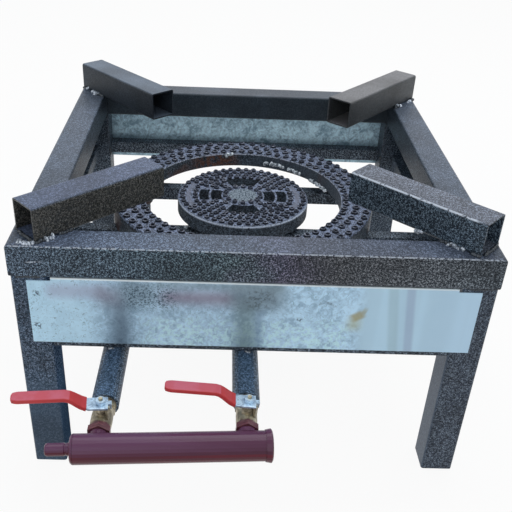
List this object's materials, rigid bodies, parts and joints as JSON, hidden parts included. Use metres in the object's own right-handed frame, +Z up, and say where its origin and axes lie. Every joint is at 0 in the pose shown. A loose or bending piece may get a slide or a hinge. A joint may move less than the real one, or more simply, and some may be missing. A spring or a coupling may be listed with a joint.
{
  "type": "propane burner stand",
  "caption": "Square box-tube gas stove stand with diagonal pot arms, folded wind sheets, cast inner and ring burners, and a gas manifold with quarter-turn lever valves.",
  "frame": {"origin": "on the floor, under the middle of the stand's overall box, manifold included", "axes": "+Z up; -Y towards the gas manifold and its valves, which are the front; +X to the right seen from the front"},
  "size_m": [0.55, 0.7142, 0.3643],
  "materials": {
    "hammertone_paint": "hammered enamel, dark blue-grey with fine silver flecks",
    "galvanised_sheet": "galvanised, faint spangle",
    "cast_iron": "as cast, painted over, rust stains",
    "maroon_gloss": "gloss enamel",
    "valve_brass": "dull turned brass",
    "zinc_plate": "bright zinc plate",
    "red_vinyl": "dip-moulded vinyl",
    "seat_ptfe": "smooth",
    "ball_chrome": "polished"
  },
  "bodies": {
    "stand": {"burner_bar_front": "hammertone_paint", "burner_bar_rear": "hammertone_paint", "gland_nut_left": "valve_brass", "gland_nut_right": "valve_brass", "head_burner": "cast_iron", "hose_nipple": "maroon_gloss", "injector_left": "valve_brass", "injector_right": "valve_brass", "leg_back_left": "hammertone_paint", "leg_back_right": "hammertone_paint", "leg_front_left": "hammertone_paint", "leg_front_right": "hammertone_paint", "lower_rail_back": "hammertone_paint", "lower_rail_front": "hammertone_paint", "lower_rail_left": "hammertone_paint", "lower_rail_right": "hammertone_paint", "manifold_cap_left": "maroon_gloss", "manifold_cap_right": "maroon_gloss", "manifold_pipe": "maroon_gloss", "manifold_socket_left": "maroon_gloss", "manifold_socket_right": "maroon_gloss", "mixing_pipe_left": "hammertone_paint", "mixing_pipe_right": "hammertone_paint", "pot_arm_back_left": "hammertone_paint", "pot_arm_back_right": "hammertone_paint", "pot_arm_front_left": "hammertone_paint", "pot_arm_front_right": "hammertone_paint", "ring_burner": "cast_iron", "top_rail_back": "hammertone_paint", "top_rail_front": "hammertone_paint", "top_rail_left": "hammertone_paint", "top_rail_right": "hammertone_paint", "valve_body_left": "valve_brass", "valve_body_right": "valve_brass", "valve_seat_front_left": "seat_ptfe", "valve_seat_front_right": "seat_ptfe", "valve_seat_rear_left": "seat_ptfe", "valve_seat_rear_right": "seat_ptfe", "valve_tail_left": "valve_brass", "valve_tail_right": "valve_brass", "wind_sheet_back": "galvanised_sheet", "wind_sheet_front": "galvanised_sheet", "wind_sheet_left": "galvanised_sheet", "wind_sheet_right": "galvanised_sheet"},
    "lever_left": {"lever_left": "zinc_plate", "lever_nut_left": "zinc_plate", "lever_sleeve_left": "red_vinyl", "valve_ball_left": "ball_chrome", "valve_stem_left": "valve_brass"},
    "lever_right": {"lever_right": "zinc_plate", "lever_nut_right": "zinc_plate", "lever_sleeve_right": "red_vinyl", "valve_ball_right": "ball_chrome", "valve_stem_right": "valve_brass"}
  },
  "joints": [
    {"name": "lever_left_turn", "type": "hinge", "parent": "stand", "child": "lever_left", "pos_m": [-0.163, -0.29835, 0.1722], "axis": [0.0175, 0, 0.9998], "range_deg": [-7, 83]},
    {"name": "lever_right_turn", "type": "hinge", "parent": "stand", "child": "lever_right", "pos_m": [-0.0075, -0.28935, 0.1722], "axis": [0.0698, 0, 0.9976], "range_deg": [0, 90]}
  ]
}
